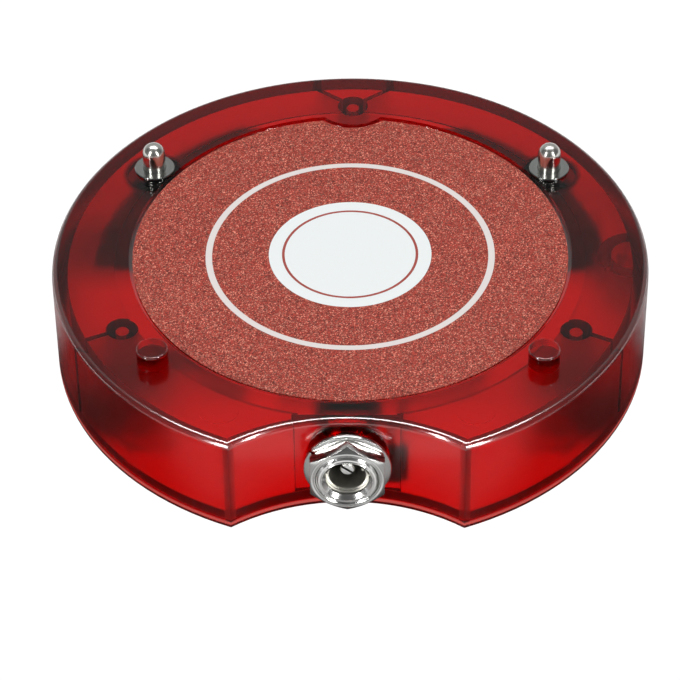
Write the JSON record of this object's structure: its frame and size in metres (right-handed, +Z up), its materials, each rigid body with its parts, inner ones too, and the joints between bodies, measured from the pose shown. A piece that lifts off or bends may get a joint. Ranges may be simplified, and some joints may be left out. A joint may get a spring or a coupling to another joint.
{
  "type": "coaster pager",
  "caption": "Round stackable guest pager of translucent red plastic, with a front power socket in a finger notch, a flush label, sprung charging pins and locating posts.",
  "frame": {"origin": "centre of the round outline on the flat underside", "axes": "+Z up through the label, -Y towards the finger notch and power socket, +X to the right seen from the front"},
  "size_m": [0.1, 0.0964, 0.0237],
  "materials": {
    "shell_red": "translucent red polycarbonate, satin outside",
    "label_print": "printed polyester film with a fine sparkle",
    "nickel": "bright nickel plate, turned",
    "steel": "zinc-plated steel",
    "brass": "plain brass",
    "spring_steel": "spring wire",
    "black_plastic": "black nylon",
    "board_green": "glass-fibre board with green mask",
    "chip_black": "moulded package",
    "copper": "copper wire",
    "led_clear": "clear lamp on a white package",
    "plug_white": "nylon plug",
    "cell_foil": "foil pouch",
    "foam_white": "foam tape",
    "wire_red": "wire insulation"
  },
  "bodies": {
    "root": {"top_shell": "shell_red", "bottom_cover": "shell_red", "case_screws": "steel", "label_film": "label_print", "pin_barrel_left": "nickel", "pin_barrel_right": "nickel", "pin_spring_left": "spring_steel", "pin_spring_right": "spring_steel", "pin_nut_left": "brass", "pin_nut_right": "brass", "contact_plate_left": "brass", "contact_plate_right": "brass", "socket_barrel": "nickel", "socket_insulator": "black_plastic", "socket_center_pin": "nickel", "socket_contact": "nickel", "lock_washer": "nickel", "socket_nut": "nickel", "main_board": "board_green", "board_screws": "steel", "controller_chip": "chip_black", "receiver_module": "chip_black", "crystal_can": "steel", "antenna_coil": "copper", "buzzer": "black_plastic", "rim_leds": "led_clear", "battery_plug": "plug_white", "battery": "cell_foil", "battery_tape": "foam_white", "motor_case": "steel", "switch_frame": "steel", "battery_wires": "wire_red", "socket_wires": "wire_red", "motor_wires": "wire_red", "contact_wires": "wire_red", "switch_wires": "wire_red"},
    "left_plunger": {"charge_pin_left": "nickel"},
    "right_plunger": {"charge_pin_right": "nickel"},
    "motor_rotor": {"motor_shaft": "steel", "motor_weight": "brass"},
    "switch_knob": {"switch_slider": "black_plastic"}
  },
  "joints": [
    {"name": "left_pin_press", "type": "slide", "parent": "root", "child": "left_plunger", "axis": [0, 0, -1], "range_m": [0, 0.0015], "stiffness_N_per_m": 400, "springref_m": -0.0015, "deforming": ["pin_spring_left"]},
    {"name": "right_pin_press", "type": "slide", "parent": "root", "child": "right_plunger", "axis": [0, 0, -1], "range_m": [0, 0.0015], "stiffness_N_per_m": 400, "springref_m": -0.0015, "deforming": ["pin_spring_right"]},
    {"name": "motor_spin", "type": "hinge", "parent": "root", "child": "motor_rotor", "pos_m": [-0.027, -0.016, 0.007], "axis": [1, 0, 0], "continuous": true},
    {"name": "switch_slide", "type": "slide", "parent": "root", "child": "switch_knob", "axis": [1, 0, 0], "range_m": [0, 0.0018]}
  ]
}
